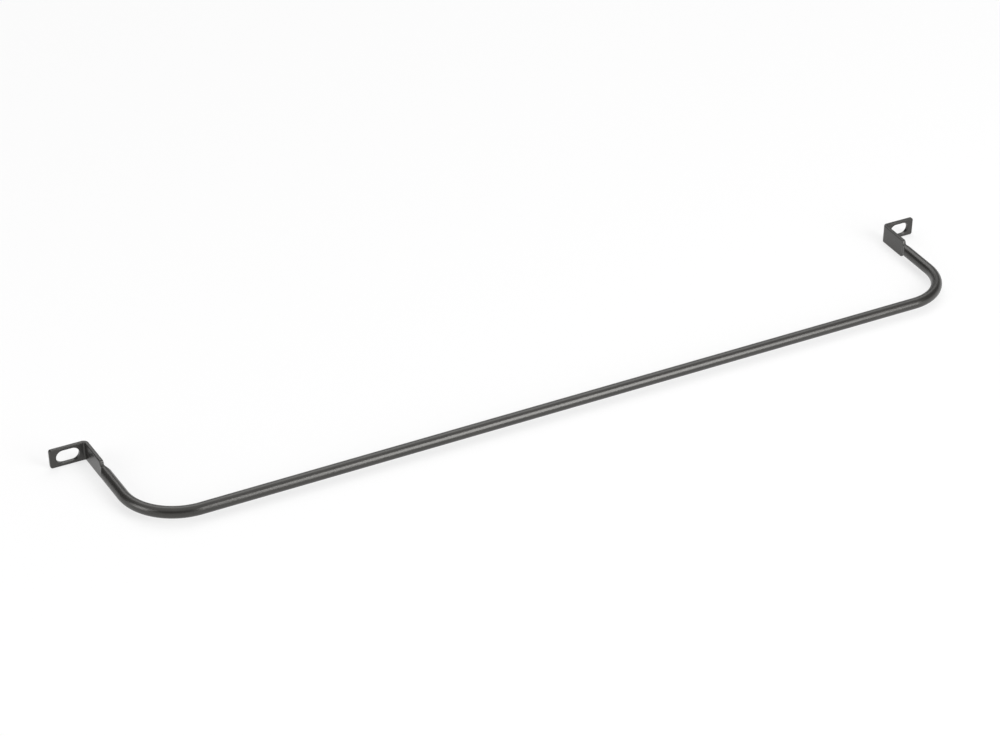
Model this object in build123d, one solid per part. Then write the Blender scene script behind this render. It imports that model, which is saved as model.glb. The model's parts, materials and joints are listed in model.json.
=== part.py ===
from build123d import *
from math import atan, cos, degrees, radians, sin, sqrt
import os

# Rack cable lacing bar: one steel rod, bent back at both ends, each end pressed flat,
# folded outward and slotted to bolt to a 19 inch rack's rails.
# Frame: millimetres, origin midway between the slots on the rear mounting face,
# +X along the bar, +Y towards the rails, +Z up.

# Slots: the spacing is the rack standard's, and the lands make the tabs 482.6 mm wide overall
slot_spacing = 465.1           # between the slots' centres
slot_length = 11.3
slot_width = 6.8
end_land = 3.1                 # slot to the tab's outer end
fold_land = 3.4                # slot to the fold corner, at the middle of the flat

# Rod
rod_diameter = 5.7
bar_setback = 69.6             # mounting face to the bar's axis
bend_radius = 27.5             # at the rod's axis
arm_splay = 3.3                # degrees that each arm leans outward

# Pressed flats
flat_thickness = 2.0
flat_height = 9.8
flat_length = 18.5             # fold corner to the foot of the shoulder
edge_radius = 0.5              # along the pressed edges
fold_inner_radius = 0.8
tab_corner_radius = 1.2

# Shoulder, where the press runs out into the round rod
shoulder_radius = 7.0          # hollow left by the edge of the die
shoulder_sink = 0.2            # depth of that hollow's foot below the flat
ear_length = 2.6               # run over which the flat spreads to its full height
ear_lead = 2.1                 # how far the spread starts ahead of the shoulder's foot
root_depth = 0.3               # the flat's root lies this far inside the rod

# Limits and counts
edge_limit = 0.45              # largest edge rounding, as a share of the thickness
broad_face_count = 4           # both sides of a flat's strip and of its tab
quarter_turn = 90

# Worked-out values
overall_width = slot_spacing + slot_length + 2 * end_land
fold_span = slot_spacing - slot_length - 2 * fold_land
rod_radius = rod_diameter / 2
half_thickness = flat_thickness / 2
half_height = flat_height / 2
fold_radius = fold_inner_radius + half_thickness
rounding = min(edge_radius, edge_limit * flat_thickness)
root_half_height = sqrt(rod_radius**2 - half_thickness**2) - root_depth
splay = radians(arm_splay)
fold_corner = Vector(fold_span / 2, -half_thickness)
arm_direction = Vector(sin(splay), cos(splay))
arm_normal = Vector(cos(splay), -sin(splay))
arm_length = (bar_setback - half_thickness) / cos(splay)
bar_corner = fold_corner - arm_direction * arm_length
ear_start = -flat_length - ear_lead
shoulder_foot = half_thickness - shoulder_sink
shoulder_length = sqrt(shoulder_radius**2 - (shoulder_radius + shoulder_foot - rod_radius)**2)
strip_start = min(ear_start, -flat_length - shoulder_length)

# Arm planes: local X runs along the arm towards the fold, which is at zero
side_plane = Plane(origin=fold_corner, x_dir=arm_direction, z_dir=arm_normal)
top_plane = Plane(origin=fold_corner, x_dir=arm_direction, z_dir=(0, 0, 1))


def mirrored(solid):
    """The same solid at the other end of the bar."""
    return mirror(solid, about=Plane.YZ)


def round_rod():
    """The bent rod, from inside one flat to inside the other."""
    rod_end = fold_corner - arm_direction * (flat_length - flat_thickness)
    right = [bar_corner, rod_end]
    left = [Vector(-point.X, point.Y) for point in reversed(right)]
    path = FilletPolyline(*left, *right, radius=bend_radius)
    section = Plane(origin=path @ 0, z_dir=path % 0) * Circle(rod_radius)
    return sweep(section, path=path)


def shoulder_cuts():
    """Hollows pressed into both sides of one rod end, run out on the die's edge radius."""
    outside = shoulder_foot + shoulder_radius + rod_diameter
    past_rod = -flat_length + 2 * flat_thickness
    arc = JernArc((-flat_length, shoulder_foot), (-1, 0), shoulder_radius, -quarter_turn)
    rest = Polyline(arc @ 1, (-flat_length - shoulder_radius, outside),
                    (past_rod, outside), (past_rod, shoulder_foot), arc @ 0)
    profile = make_face([arc, *rest.edges()])
    both_sides = [profile, mirror(profile, about=Plane.XZ)]
    return [extrude(top_plane * side, amount=rod_diameter, both=True) for side in both_sides]


def ear_cuts():
    """What the flat's blank lacks above and below the rod, ahead of its full height."""
    rise = half_height - root_half_height
    turn = degrees(2 * atan(rise / ear_length))
    radius = (rise**2 + ear_length**2) / (4 * rise)
    blank_end = strip_start - rod_radius
    lower_arc = JernArc((ear_start, root_half_height), (1, 0), radius, turn)
    upper_arc = JernArc(lower_arc @ 1, lower_arc % 1, radius, -turn)
    above = half_height + rod_radius
    rest = Polyline(upper_arc @ 1, (ear_start + ear_length, above), (blank_end, above),
                    (blank_end, root_half_height), lower_arc @ 0)
    profile = make_face([lower_arc, upper_arc, *rest.edges()])
    both_edges = [profile, mirror(profile, about=Plane.XZ)]
    return [extrude(side_plane * edge, amount=flat_thickness, both=True) for edge in both_edges]


def pressed_flat():
    """One flattened end: strip along the arm, fold and slotted tab."""
    root = fold_corner + arm_direction * strip_start
    tab_end = Vector(overall_width / 2, -half_thickness)
    path = FilletPolyline(root, fold_corner, tab_end, radius=fold_radius)
    section = Plane(origin=path @ 0, x_dir=arm_normal, z_dir=path % 0)
    flat = sweep(section * Rectangle(flat_thickness, flat_height), path=path)
    for cut in ear_cuts():
        flat -= cut
    outer_end = flat.faces().sort_by(Axis.X)[-1]
    corners = outer_end.edges().filter_by(Axis.Y)
    flat = fillet(corners, tab_corner_radius)
    broad_faces = flat.faces().sort_by(SortBy.AREA)[-broad_face_count:]
    flat = fillet(broad_faces.edges() - broad_faces.edges().filter_by(Axis.Z), rounding)
    slot = Plane.XZ * Pos(slot_spacing / 2, 0) * SlotOverall(slot_length, slot_width)
    return flat - extrude(slot, amount=2 * flat_thickness, both=True)


def lacing_bar():
    """The whole bar as one piece."""
    rod = round_rod()
    for cut in shoulder_cuts():
        rod = rod - cut - mirrored(cut)
    flat = pressed_flat()
    return rod + flat + mirrored(flat)


os.makedirs("parts", exist_ok=True)
bar = lacing_bar()
export_step(bar, "parts/lacing_bar.step")
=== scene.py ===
import json
from math import atan2, cos, pi, radians, sin, sqrt, tan

import bmesh
import bpy
from mathutils import Matrix, Vector

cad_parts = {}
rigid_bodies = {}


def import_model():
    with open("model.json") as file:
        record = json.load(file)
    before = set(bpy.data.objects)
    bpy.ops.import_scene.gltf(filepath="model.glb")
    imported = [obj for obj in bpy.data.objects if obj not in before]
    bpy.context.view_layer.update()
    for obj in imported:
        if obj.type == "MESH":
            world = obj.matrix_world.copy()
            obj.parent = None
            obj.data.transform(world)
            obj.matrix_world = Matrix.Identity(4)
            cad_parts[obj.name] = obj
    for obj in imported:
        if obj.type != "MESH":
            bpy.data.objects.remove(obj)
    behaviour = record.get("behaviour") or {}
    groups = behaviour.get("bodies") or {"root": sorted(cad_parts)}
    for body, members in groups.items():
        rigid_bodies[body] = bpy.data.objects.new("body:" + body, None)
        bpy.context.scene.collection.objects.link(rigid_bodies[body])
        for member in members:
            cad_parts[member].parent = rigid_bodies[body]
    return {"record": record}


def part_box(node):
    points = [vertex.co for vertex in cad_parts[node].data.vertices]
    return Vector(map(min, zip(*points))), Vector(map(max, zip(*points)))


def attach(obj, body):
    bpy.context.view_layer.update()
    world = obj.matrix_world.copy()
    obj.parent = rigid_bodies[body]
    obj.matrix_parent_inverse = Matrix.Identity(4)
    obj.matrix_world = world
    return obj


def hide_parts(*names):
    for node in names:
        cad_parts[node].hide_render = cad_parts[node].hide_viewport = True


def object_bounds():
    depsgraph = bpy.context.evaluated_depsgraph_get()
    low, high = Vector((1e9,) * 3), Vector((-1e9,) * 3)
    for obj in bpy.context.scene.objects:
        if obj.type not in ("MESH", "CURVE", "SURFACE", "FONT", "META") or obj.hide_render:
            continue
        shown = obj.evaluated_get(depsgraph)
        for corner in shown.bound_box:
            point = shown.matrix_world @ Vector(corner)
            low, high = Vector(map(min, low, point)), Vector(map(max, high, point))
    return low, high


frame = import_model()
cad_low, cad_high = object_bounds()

# The bar is one fine mesh, drawn section by section along its centre line, on a pale floor in soft light.
# Lengths are in millimetres, as in the solid, and become metres where they reach Blender.
MM = 0.001

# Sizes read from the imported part
slot_dims = next(mount for mount in frame["record"]["mounts"] if mount["name"] == "rail_slots")["dims"]
slot_spacing = slot_dims["spacing_x_mm"]
slot_length = slot_dims["slot_length_mm"]
slot_radius = slot_dims["hole_r_mm"]
node_low, node_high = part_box("lacing_bar")
overall_width = (node_high.x - node_low.x) / MM
half_height = (node_high.z - node_low.z) / 2 / MM

# Rod
rod_radius = 2.85
bend_radius = 27.5
splay = radians(3.3)
bar_setback = -node_low.y / MM - rod_radius

# Pressed flats
half_thickness = 1.0
flat_length = 18.5             # fold corner to the foot of the shoulder
fold_land = 3.4                # slot to the fold corner
fold_inner_radius = 0.8
edge_radius = 0.5              # along the pressed edges
tab_corner_radius = 1.2
rim_radius = 0.2               # rounded edge round each slot
cutter_margin = 1.0            # how far the slot's cutter stands out of the tab

# Shoulder, where the press runs out into the round rod
shoulder_radius = 7.0          # hollow left by the edge of the die
shoulder_sink = 0.2            # depth of that hollow's foot below the flat
ear_length = 2.6               # run over which the flat spreads to its full height
ear_lead = 2.1                 # how far the spread starts ahead of the shoulder's foot
root_depth = 0.3               # the flat's root lies this far inside the rod
crest_softness = 0.5           # blend where the hollow runs out into the rod
foot_softness = 0.2            # blend where the hollow meets the flat
ear_softness = 0.7             # blend where the ears rise out of the rod
ear_softening = 0.8            # run over which one blend passes into the other
least_cosine = 0.001           # keeps the hollow's reach finite straight up and down

# Mesh: steps round a quarter of the flat, along half the bar, and round the slots
face_steps = 10
corner_steps = 6
edge_steps = 2
bar_steps = 12
bend_steps = 56
arm_steps = 8
shoulder_steps = 64
strip_steps = 10
fold_steps = 24
tab_steps = 6
end_steps = 14
slot_arc_steps = 40
rim_steps = 6
merge_distance = 0.001         # points closer than this become one
plane_tolerance = radians(0.5)  # a tab's faces closer than this to one plane become one
large_face_weight = 100        # how far the larger of two faces sets the shading between them

# Camera, at the photograph's viewing angle
view_azimuth = radians(27.385)
view_elevation = radians(31.97)
view_roll = radians(-0.1635)
view_distance = 1149.3
view_aim = Vector((-30.67, -44.81, 12.67))
lens_length = 86.76
sensor_width = 36.0

# Softboxes: direction from the object (azimuth and elevation, in degrees), distance and size in metres,
# and brightness as the radiance of the lit face
front_direction = (155.0, 23.5)
front_distance = 1.2
front_size = (0.64, 0.9)
front_brightness = 7.0
top_direction = (28.0, 50.0)
top_distance = 2.2
top_size = (2.0, 1.4)
top_brightness = 1.9
left_direction = (-91.0, 22.0)
left_distance = 1.2
left_size = (0.5, 0.6)
left_brightness = 4.0

# Light from all round: brightness by the sine of the elevation
surround = {0.0: 1.0, 0.1: 1.0, 0.25: 0.15, 0.7: 0.2, 0.9: 1.0, 1.0: 1.0}

# Floor
floor_size = 12.0              # metres
floor_colour = (0.9, 0.9, 0.9, 1.0)
floor_glow = 0.7               # share of the floor's look that is plain white

# Finish: near-black satin paint, mottled, with orange peel and a finer grain; scales in features per metre
paint_dark = (0.0085, 0.0080, 0.0072, 1.0)
paint_light = (0.0135, 0.0127, 0.0115, 1.0)
gloss_tint = (1.0, 0.985, 0.955, 1.0)
paint_ior = 1.65
satin_low = 0.26               # range of the roughness
satin_high = 0.36
noise_low = 0.3                # range that most of a noise texture lies in
noise_high = 0.7
mottle_scale = 45.0
mottle_detail = 4.0
peel_scale = 900.0
peel_detail = 2.0
peel_height = 0.012
grain_scale = 4200.0
grain_detail = 3.0
grain_height = 0.004
bump_strength = 1.0

# Worked-out values
fold_corner_x = (slot_spacing - slot_length) / 2 - fold_land
fold_radius = fold_inner_radius + half_thickness
turn = pi / 2 - splay
arm_length = (bar_setback - half_thickness) / cos(splay)
bend_tangent = bend_radius * tan(turn / 2)
fold_tangent = fold_radius * tan(turn / 2)
bar_corner_x = fold_corner_x - arm_length * sin(splay)
bar_end = bar_corner_x - bend_tangent
tab_start = fold_corner_x + fold_tangent
tab_end = overall_width / 2
root_half_height = sqrt(rod_radius**2 - half_thickness**2) - root_depth
ear_start = -flat_length - ear_lead
ear_end = ear_start + ear_length
shoulder_foot = half_thickness - shoulder_sink
shoulder_drop = shoulder_radius + shoulder_foot - rod_radius
shoulder_top = -flat_length - sqrt(shoulder_radius**2 - shoulder_drop**2)
shoulder_start = shoulder_top - crest_softness - foot_softness


def spread(first, last, steps):
    """Evenly spaced values from first up to, but not including, last."""
    return [first + (last - first) * step / steps for step in range(steps)]


def smoothstep(value):
    """Ease from 0 to 1 with level ends."""
    held = min(max(value, 0.0), 1.0)
    return held * held * (3 - 2 * held)


def soft_max(first, second, width):
    """The larger value, with the change-over rounded off."""
    share = max(width - abs(first - second), 0.0) / width
    return max(first, second) + share * share * width / 4


def soft_min(first, second, width):
    """The smaller value, with the change-over rounded off."""
    return -soft_max(-first, -second, width)


def arc_rise(run, radius):
    """How far a rounded corner has come up after a run in from its end."""
    left = radius - min(run, radius)
    return sqrt(radius**2 - left**2)


def rounded_reach(angle, width, height, rounding):
    """Distance from a rounded rectangle's centre to its edge, along an angle."""
    across = abs(cos(angle))
    up = abs(sin(angle))
    if up * width <= across * (height - rounding):
        return width / across
    if across * height <= up * (width - rounding):
        return height / up
    middle = across * (width - rounding) + up * (height - rounding)
    square = (width - rounding) ** 2 + (height - rounding) ** 2
    return middle + sqrt(max(middle**2 - square + rounding**2, 0.0))


def hollow_half_width(arm):
    """Half the rod's width between the two hollows that the die leaves."""
    run = min(max(-flat_length - arm, 0.0), shoulder_radius)
    return shoulder_foot + shoulder_radius - sqrt(shoulder_radius**2 - run**2)


def ear_half_height(arm):
    """Half the flat's height where it spreads out of the rod, as two equal arcs."""
    rise = half_height - root_half_height
    arc_radius = (rise**2 + ear_length**2) / (4 * rise)
    run = min(max(arm - ear_start, 0.0), ear_length)
    nearer_run = min(run, ear_length - run)
    climb = arc_radius - sqrt(arc_radius**2 - nearer_run**2)
    if run < ear_length / 2:
        return root_half_height + climb
    return half_height - climb


def section_reach(angle, arm, end):
    """Distance from the centre line to the surface: round rod, pressed flat or the shoulder between."""
    if arm <= shoulder_start:
        return rod_radius
    height = ear_half_height(arm) - tab_corner_radius + arc_rise(end, tab_corner_radius)
    width = half_thickness - edge_radius + arc_rise(end, edge_radius)
    flat = rounded_reach(angle, width, height, edge_radius)
    if arm > -flat_length + foot_softness:
        return flat
    hollow = hollow_half_width(arm) / max(abs(cos(angle)), least_cosine)
    pressed = soft_min(rod_radius, hollow, crest_softness)
    rising = smoothstep((arm - ear_start) / ear_softening)
    settling = smoothstep((-flat_length - arm) / ear_softening)
    ear_share = rising * settling
    softness = foot_softness + (ear_softness - foot_softness) * ear_share
    return soft_max(pressed, flat, softness)


def flat_angles():
    """Angles of the mesh lines round a flat: dense on its rounded edges, even on its faces."""
    side = half_thickness - edge_radius
    top = half_height - edge_radius
    quarter = [atan2(up, half_thickness) for up in spread(0.0, top, face_steps)]
    for bend in spread(0.0, pi / 2, corner_steps):
        quarter.append(atan2(top + edge_radius * sin(bend), side + edge_radius * cos(bend)))
    quarter += [atan2(half_height, across) for across in spread(side, 0.0, edge_steps)]
    half = quarter + [pi / 2] + [pi - angle for angle in reversed(quarter[1:])]
    return half + [angle + pi for angle in half]


angles_flat = flat_angles()
angles_rod = spread(0.0, 2 * pi, len(angles_flat))


def section(arm, end):
    """Points round the bar at one place, as distances across it and up."""
    share = smoothstep((arm - shoulder_start) / (ear_end - shoulder_start))
    points = []
    for rod_angle, flat_angle in zip(angles_rod, angles_flat):
        angle = rod_angle + (flat_angle - rod_angle) * share
        reach = section_reach(angle, arm, end)
        points.append((reach * cos(angle), reach * sin(angle)))
    return points


def half_path():
    """Places along the right half: x, y, heading, distance past the fold corner, distance to the end."""
    # Where a distance has no effect on the section, it is given as one longer than any run
    far = overall_width
    places = [(x, -bar_setback, 0.0, -far, far) for x in spread(0.0, bar_end, bar_steps)]
    for heading in spread(0.0, turn, bend_steps):
        y = -bar_setback + bend_radius * (1 - cos(heading))
        places.append((bar_end + bend_radius * sin(heading), y, heading, -far, far))
    runs = spread(bend_tangent - arm_length, shoulder_start, arm_steps)
    runs += spread(shoulder_start, ear_end, shoulder_steps)
    runs += spread(ear_end, -fold_tangent, strip_steps)
    for run in runs:
        x = fold_corner_x + run * sin(splay)
        y = -half_thickness + run * cos(splay)
        places.append((x, y, turn, run, far))
    for heading in spread(turn, 0.0, fold_steps):
        y = -half_thickness - fold_radius * (1 - cos(heading))
        places.append((tab_start - fold_radius * sin(heading), y, heading, 0.0, far))
    ends = spread(tab_end - tab_start, tab_corner_radius, tab_steps)
    ends += [tab_corner_radius * (1 - sin(angle)) for angle in spread(0.0, pi / 2, end_steps)]
    ends.append(0.0)
    for end in ends:
        places.append((tab_end - end, -half_thickness, 0.0, 0.0, end))
    return places


def tube_mesh(name, rings):
    """A closed mesh through rings of points, in millimetres."""
    count = len(rings[0])
    faces = [list(reversed(range(count)))]
    for ring in range(len(rings) - 1):
        base = ring * count
        for side in range(count):
            following = (side + 1) % count
            near_edge = (base + side, base + following)
            far_edge = (base + count + following, base + count + side)
            faces.append(near_edge + far_edge)
    last = (len(rings) - 1) * count
    faces.append(list(range(last, last + count)))
    mesh = bpy.data.meshes.new(name)
    mesh.from_pydata([Vector(point) * MM for ring in rings for point in ring], [], faces)
    mesh.validate()
    return mesh


def bar_rings():
    """Rings of points from the left tab's end, along the bar, to the right tab's end."""
    right = half_path()
    left = [(-x, y, -heading, arm, end) for x, y, heading, arm, end in reversed(right[1:])]
    rings = []
    for x, y, heading, arm, end in left + right:
        points = section(arm, end)
        ring = [(x - across * sin(heading), y + across * cos(heading), up) for across, up in points]
        rings.append(ring)
    return rings


def slot_ring(centre_x, y, grow):
    """One outline of a slot, grown by an amount, at one depth."""
    half_straight = slot_length / 2 - slot_radius
    points = []
    for side in (1, -1):
        for angle in spread(-pi / 2, pi / 2, slot_arc_steps):
            x = centre_x + side * (half_straight + (slot_radius + grow) * cos(angle))
            points.append((x, y, side * (slot_radius + grow) * sin(angle)))
        points.append((centre_x + side * half_straight, y, side * (slot_radius + grow)))
    return points


def slot_cutter(centre_x):
    """The solid that a slot takes out of a tab, flared at both faces to leave rounded rims."""
    steps = [pi / 2 * step / rim_steps for step in range(1, rim_steps + 1)]
    depths = [(rim_radius * (1 - cos(angle)), rim_radius * (1 - sin(angle))) for angle in steps]
    # The outermost slope runs on past the tab's face, so that the rim starts right on it
    slope = cos(steps[0]) / sin(steps[0])
    stand_off = -rim_radius / rim_steps
    flare = depths[0][1] + slope * (depths[0][0] - stand_off)
    depths = [(-cutter_margin, flare), (stand_off, flare)] + depths
    thickness = 2 * half_thickness
    rings = [slot_ring(centre_x, -depth, grow) for depth, grow in depths]
    rings += [slot_ring(centre_x, depth - thickness, grow) for depth, grow in reversed(depths)]
    return bpy.data.objects.new("slot_cutter", tube_mesh("slot_cutter", rings))


def cut_slots(piece):
    """Cuts both slots and keeps the result as the piece's own mesh."""
    scene_objects = bpy.context.scene.collection.objects
    cutters = [slot_cutter(side * slot_spacing / 2) for side in (-1, 1)]
    for cutter in cutters:
        scene_objects.link(cutter)
        cut = piece.modifiers.new("slot", "BOOLEAN")
        cut.object = cutter
        cut.operation = "DIFFERENCE"
        cut.solver = "EXACT"
    depsgraph = bpy.context.evaluated_depsgraph_get()
    mesh = bpy.data.meshes.new_from_object(piece.evaluated_get(depsgraph))
    piece.modifiers.clear()
    piece.data = mesh
    for cutter in cutters:
        bpy.data.objects.remove(cutter)


def on_tab(point):
    """Whether a point of the mesh lies on a tab, between its rounded edges."""
    flat_top = half_height - edge_radius + merge_distance
    return abs(point.co.x) > tab_start * MM and abs(point.co.z) < flat_top * MM


def join_tab_faces(mesh):
    """Joins doubled points, and a tab's faces that lie in one plane, so that the tab is shaded evenly."""
    shape = bmesh.new()
    shape.from_mesh(mesh)
    bmesh.ops.remove_doubles(shape, verts=shape.verts, dist=merge_distance * MM)
    points = [point for point in shape.verts if on_tab(point)]
    edges = [edge for edge in shape.edges if all(on_tab(point) for point in edge.verts)]
    bmesh.ops.dissolve_limit(shape, angle_limit=plane_tolerance, verts=points, edges=edges)
    shape.to_mesh(mesh)
    shape.free()


def noise(nodes, links, coordinates, scale, detail):
    """A noise texture in the object's own coordinates; returns its value."""
    texture = nodes.new("ShaderNodeTexNoise")
    texture.inputs["Scale"].default_value = scale
    texture.inputs["Detail"].default_value = detail
    links.new(coordinates, texture.inputs["Vector"])
    return texture.outputs["Fac"]


def bumped(nodes, links, height, distance, normal):
    """A bump of a given height, on top of an earlier one if there is one; returns the normal."""
    bump = nodes.new("ShaderNodeBump")
    bump.inputs["Strength"].default_value = bump_strength
    bump.inputs["Distance"].default_value = distance
    links.new(height, bump.inputs["Height"])
    if normal:
        links.new(normal, bump.inputs["Normal"])
    return bump.outputs["Normal"]


def black_paint():
    """Satin black: slight mottling, uneven gloss, orange peel and a finer grain."""
    material = bpy.data.materials.new("black_finish")
    material.use_nodes = True
    nodes = material.node_tree.nodes
    links = material.node_tree.links
    shader = nodes["Principled BSDF"]
    shader.inputs["IOR"].default_value = paint_ior
    shader.inputs["Specular Tint"].default_value = gloss_tint
    coordinates = nodes.new("ShaderNodeTexCoord").outputs["Object"]
    mottle = noise(nodes, links, coordinates, mottle_scale, mottle_detail)
    peel = noise(nodes, links, coordinates, peel_scale, peel_detail)
    grain = noise(nodes, links, coordinates, grain_scale, grain_detail)
    colour = nodes.new("ShaderNodeValToRGB")
    colour.color_ramp.elements[0].position = noise_low
    colour.color_ramp.elements[0].color = paint_dark
    colour.color_ramp.elements[1].position = noise_high
    colour.color_ramp.elements[1].color = paint_light
    links.new(mottle, colour.inputs["Fac"])
    links.new(colour.outputs["Color"], shader.inputs["Base Color"])
    gloss = nodes.new("ShaderNodeMapRange")
    gloss.inputs["From Min"].default_value = noise_low
    gloss.inputs["From Max"].default_value = noise_high
    gloss.inputs["To Min"].default_value = satin_low
    gloss.inputs["To Max"].default_value = satin_high
    links.new(grain, gloss.inputs["Value"])
    links.new(gloss.outputs["Result"], shader.inputs["Roughness"])
    peel_normal = bumped(nodes, links, peel, peel_height * MM, None)
    grain_normal = bumped(nodes, links, grain, grain_height * MM, peel_normal)
    links.new(grain_normal, shader.inputs["Normal"])
    return material


def add_bar():
    """The painted bar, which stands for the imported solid."""
    piece = bpy.data.objects.new("lacing_bar_finish", tube_mesh("lacing_bar_finish", bar_rings()))
    bpy.context.scene.collection.objects.link(piece)
    cut_slots(piece)
    join_tab_faces(piece.data)
    piece.data.name = piece.name
    piece.data.shade_smooth()
    weighted = piece.modifiers.new("even_shading", "WEIGHTED_NORMAL")
    weighted.weight = large_face_weight
    piece.data.materials.clear()
    piece.data.materials.append(black_paint())
    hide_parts("lacing_bar")
    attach(piece, "root")


def floor_material():
    """Pale floor: its own colour and shade, lifted towards white where it is seen or mirrored."""
    material = bpy.data.materials.new("floor")
    material.use_nodes = True
    nodes = material.node_tree.nodes
    links = material.node_tree.links
    nodes.clear()
    diffuse = nodes.new("ShaderNodeBsdfDiffuse")
    diffuse.inputs["Color"].default_value = floor_colour
    white = nodes.new("ShaderNodeEmission")
    path = nodes.new("ShaderNodeLightPath")
    seen = path.outputs["Is Camera Ray"]
    for kind in ("Is Glossy Ray", "Is Transmission Ray"):
        either = nodes.new("ShaderNodeMath")
        either.operation = "MAXIMUM"
        links.new(seen, either.inputs[0])
        links.new(path.outputs[kind], either.inputs[1])
        seen = either.outputs["Value"]
    share = nodes.new("ShaderNodeMath")
    share.operation = "MULTIPLY"
    share.inputs[1].default_value = floor_glow
    links.new(seen, share.inputs[0])
    mix = nodes.new("ShaderNodeMixShader")
    links.new(share.outputs["Value"], mix.inputs["Fac"])
    links.new(diffuse.outputs["BSDF"], mix.inputs[1])
    links.new(white.outputs["Emission"], mix.inputs[2])
    output = nodes.new("ShaderNodeOutputMaterial")
    links.new(mix.outputs["Shader"], output.inputs["Surface"])
    return material


def add_floor():
    """A plain floor under the tabs."""
    half = floor_size / 2
    low = node_low.z
    mesh = bpy.data.meshes.new("floor")
    corners = [(-half, -half, low), (half, -half, low), (half, half, low), (-half, half, low)]
    mesh.from_pydata(corners, [], [(0, 1, 2, 3)])
    mesh.materials.append(floor_material())
    floor = bpy.data.objects.new("floor", mesh)
    bpy.context.scene.collection.objects.link(floor)


def add_softbox(name, direction, distance, size, brightness):
    """A rectangular lamp turned to the object's middle; azimuth 0 is behind it and 90 on its right."""
    azimuth = radians(direction[0])
    elevation = radians(direction[1])
    outward = Vector((sin(azimuth) * cos(elevation), cos(azimuth) * cos(elevation), sin(elevation)))
    lamp = bpy.data.lights.new(name, "AREA")
    lamp.shape = "RECTANGLE"
    lamp.size = size[0]
    lamp.size_y = size[1]
    lamp.energy = brightness * pi * size[0] * size[1]
    holder = bpy.data.objects.new(name, lamp)
    holder.location = (cad_low + cad_high) / 2 + outward * distance
    holder.rotation_euler = (-outward).to_track_quat("-Z", "Y").to_euler()
    holder.visible_camera = False
    bpy.context.scene.collection.objects.link(holder)


def add_sky():
    """Soft light from all round: white at the horizon, dim above it and lighter again overhead."""
    world = bpy.data.worlds.new("studio")
    bpy.context.scene.world = world
    world.use_nodes = True
    nodes = world.node_tree.nodes
    links = world.node_tree.links
    height = nodes.new("ShaderNodeSeparateXYZ")
    links.new(nodes.new("ShaderNodeTexCoord").outputs["Generated"], height.inputs["Vector"])
    ramp = nodes.new("ShaderNodeValToRGB")
    ramp.color_ramp.interpolation = "EASE"
    stops = ramp.color_ramp.elements
    for level in list(surround)[1:-1]:
        stops.new(level)
    for stop, brightness in zip(stops, surround.values()):
        stop.color = (brightness, brightness, brightness, 1.0)
    links.new(height.outputs["Z"], ramp.inputs["Fac"])
    links.new(ramp.outputs["Color"], nodes["Background"].inputs["Color"])


def add_camera():
    """The photograph's camera."""
    right = Vector((cos(view_azimuth), -sin(view_azimuth), 0.0))
    forward = Vector((sin(view_azimuth), cos(view_azimuth), 0.0)) * cos(view_elevation)
    forward.z = -sin(view_elevation)
    up = right.cross(forward)
    turned_right = right * cos(view_roll) + up * sin(view_roll)
    turned_up = up * cos(view_roll) - right * sin(view_roll)
    lens = bpy.data.cameras.new("camera")
    lens.lens = lens_length
    lens.sensor_fit = "HORIZONTAL"
    lens.sensor_width = sensor_width
    camera = bpy.data.objects.new("camera", lens)
    place = Matrix((turned_right, turned_up, -forward)).transposed().to_4x4()
    place.translation = (view_aim - forward * view_distance) * MM
    camera.matrix_world = place
    bpy.context.scene.collection.objects.link(camera)
    bpy.context.scene.camera = camera


add_bar()
add_floor()
add_softbox("front", front_direction, front_distance, front_size, front_brightness)
add_softbox("top", top_direction, top_distance, top_size, top_brightness)
add_softbox("left", left_direction, left_distance, left_size, left_brightness)
add_sky()
add_camera()
bpy.context.scene.view_settings.view_transform = "Standard"

bpy.context.view_layer.update()
